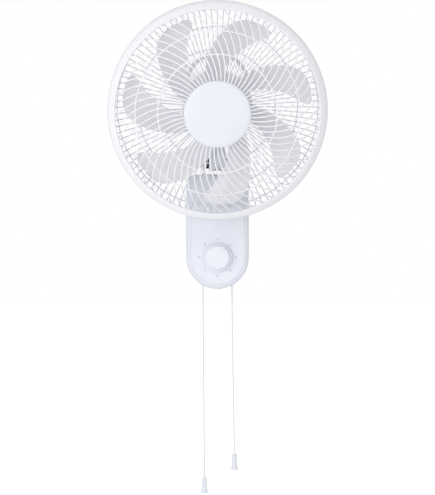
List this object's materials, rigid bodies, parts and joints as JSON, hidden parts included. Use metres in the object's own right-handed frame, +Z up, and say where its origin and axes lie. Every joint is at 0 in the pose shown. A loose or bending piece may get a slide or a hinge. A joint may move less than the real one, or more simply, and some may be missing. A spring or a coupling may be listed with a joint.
{
  "type": "wall mounted fan",
  "caption": "Wall mounted fan: a rounded control box with a timer dial and pull cords carries a tilting, swinging motor head with a propeller inside a spiral-ribbed guard.",
  "frame": {"origin": "middle of the wall plate's back face, where it meets the wall", "axes": "+X to the right seen from the front, +Y into the wall, +Z up; the fan faces -Y"},
  "size_m": [0.3592, 0.3003, 0.83],
  "materials": {
    "white_plastic": "satin moulded white",
    "dial_plastic": "polished white",
    "guard_plastic": "smooth moulded white",
    "blade_plastic": "smooth pale grey",
    "cord_fibre": "braided cord",
    "zinc_steel": "zinc plated",
    "plain_steel": "plain machined",
    "cast_aluminium": "as cast",
    "copper_wire": "enamelled winding wire",
    "bronze": "sintered bronze",
    "black_plastic": "matt",
    "black_rubber": "matt",
    "grey_plastic": "matt moulded"
  },
  "bodies": {
    "root": {"wall_bracket": "zinc_steel", "body_back_shell": "white_plastic", "body_front_shell": "white_plastic", "shell_screw_1": "zinc_steel", "shell_screw_2": "zinc_steel", "shell_screw_3": "zinc_steel", "shell_screw_4": "zinc_steel", "timer_unit": "grey_plastic", "capacitor": "black_plastic", "terminal_block": "grey_plastic", "mains_cord_gland": "black_rubber", "speed_switch_case": "black_plastic", "swing_switch_case": "black_plastic", "speed_cord_eyelet": "white_plastic", "swing_cord_eyelet": "white_plastic", "tilt_fork": "white_plastic", "tilt_bolt": "zinc_steel", "tilt_nut": "zinc_steel", "tilt_washer_left": "black_rubber", "tilt_washer_right": "black_rubber"},
    "timer": {"timer_spindle": "plain_steel", "timer_dial": "dial_plastic"},
    "speed_cord": {"speed_pull_cord": "cord_fibre", "speed_cord_bell": "white_plastic"},
    "speed_drum": {"speed_switch_drum": "grey_plastic"},
    "swing_cord": {"swing_pull_cord": "cord_fibre", "swing_cord_bell": "white_plastic"},
    "swing_drum": {"swing_switch_drum": "grey_plastic"},
    "neck": {"neck": "white_plastic", "swing_bush": "bronze"},
    "head": {"swing_pin": "plain_steel", "swivel_bracket": "cast_aluminium", "swing_motor": "plain_steel", "motor_front_shield": "cast_aluminium", "motor_rear_shield": "zinc_steel", "motor_rear_cover": "white_plastic", "aim_handle": "white_plastic", "stator_core": "plain_steel", "winding_front": "copper_wire", "winding_rear": "copper_wire", "front_bearing": "bronze", "rear_bearing": "bronze", "rear_guard": "guard_plastic", "guard_nut": "guard_plastic", "front_guard": "guard_plastic", "hub_cap": "white_plastic"},
    "propeller": {"motor_shaft": "plain_steel", "rotor_core": "plain_steel", "fan_blade": "blade_plastic", "blade_spinner": "blade_plastic"},
    "crank": {"swing_crank": "grey_plastic"},
    "link": {"swing_link": "zinc_steel"}
  },
  "joints": [
    {"name": "head_tilt", "type": "hinge", "parent": "root", "child": "neck", "pos_m": [0, -0.05, 0.118], "axis": [1, 0, 0], "range_deg": [-11, 24]},
    {"name": "head_swing", "type": "hinge", "parent": "neck", "child": "head", "pos_m": [0, -0.13793, 0.21399], "axis": [0, -0.1908, 0.9816], "range_deg": [-40, 40]},
    {"name": "blade_spin", "type": "hinge", "parent": "head", "child": "propeller", "pos_m": [0, -0.13793, 0.21399], "axis": [0, 0.9816, 0.1908], "continuous": true},
    {"name": "crank_turn", "type": "hinge", "parent": "head", "child": "crank", "pos_m": [0.0072, -0.09702, 0.1817], "axis": [0, -0.1908, 0.9816], "range_deg": [-66, 66]},
    {"name": "link_turn", "type": "hinge", "parent": "crank", "child": "link", "pos_m": [0.0175, -0.09635, 0.17826], "axis": [0, -0.1908, 0.9816], "range_deg": [-66, 66]},
    {"name": "timer_turn", "type": "hinge", "parent": "root", "child": "timer", "pos_m": [0, -0.07, -0.045], "axis": [0, 1, 0], "range_deg": [0, 315]},
    {"name": "speed_pull", "type": "slide", "parent": "root", "child": "speed_cord", "axis": [0, 0, -1], "range_m": [0, 0.012], "stiffness_N_per_m": 300, "springref_m": -0.004},
    {"name": "speed_drum_turn", "type": "hinge", "parent": "root", "child": "speed_drum", "pos_m": [-0.0182, -0.034, -0.048], "axis": [0, 1, 0], "range_deg": [-100, 2]},
    {"name": "swing_pull", "type": "slide", "parent": "root", "child": "swing_cord", "axis": [0, 0, -1], "range_m": [0, 0.012], "stiffness_N_per_m": 300, "springref_m": -0.004},
    {"name": "swing_drum_turn", "type": "hinge", "parent": "root", "child": "swing_drum", "pos_m": [0.0182, -0.034, -0.048], "axis": [0, 1, 0], "range_deg": [-2, 100]}
  ],
  "couplings": [
    {"joint": "crank_turn", "follows": "head_swing", "ratio": -1.6},
    {"joint": "link_turn", "follows": "head_swing", "ratio": 1.6},
    {"joint": "speed_drum_turn", "follows": "speed_pull", "rad_per_m": -142.86},
    {"joint": "swing_drum_turn", "follows": "swing_pull", "rad_per_m": 142.86}
  ]
}
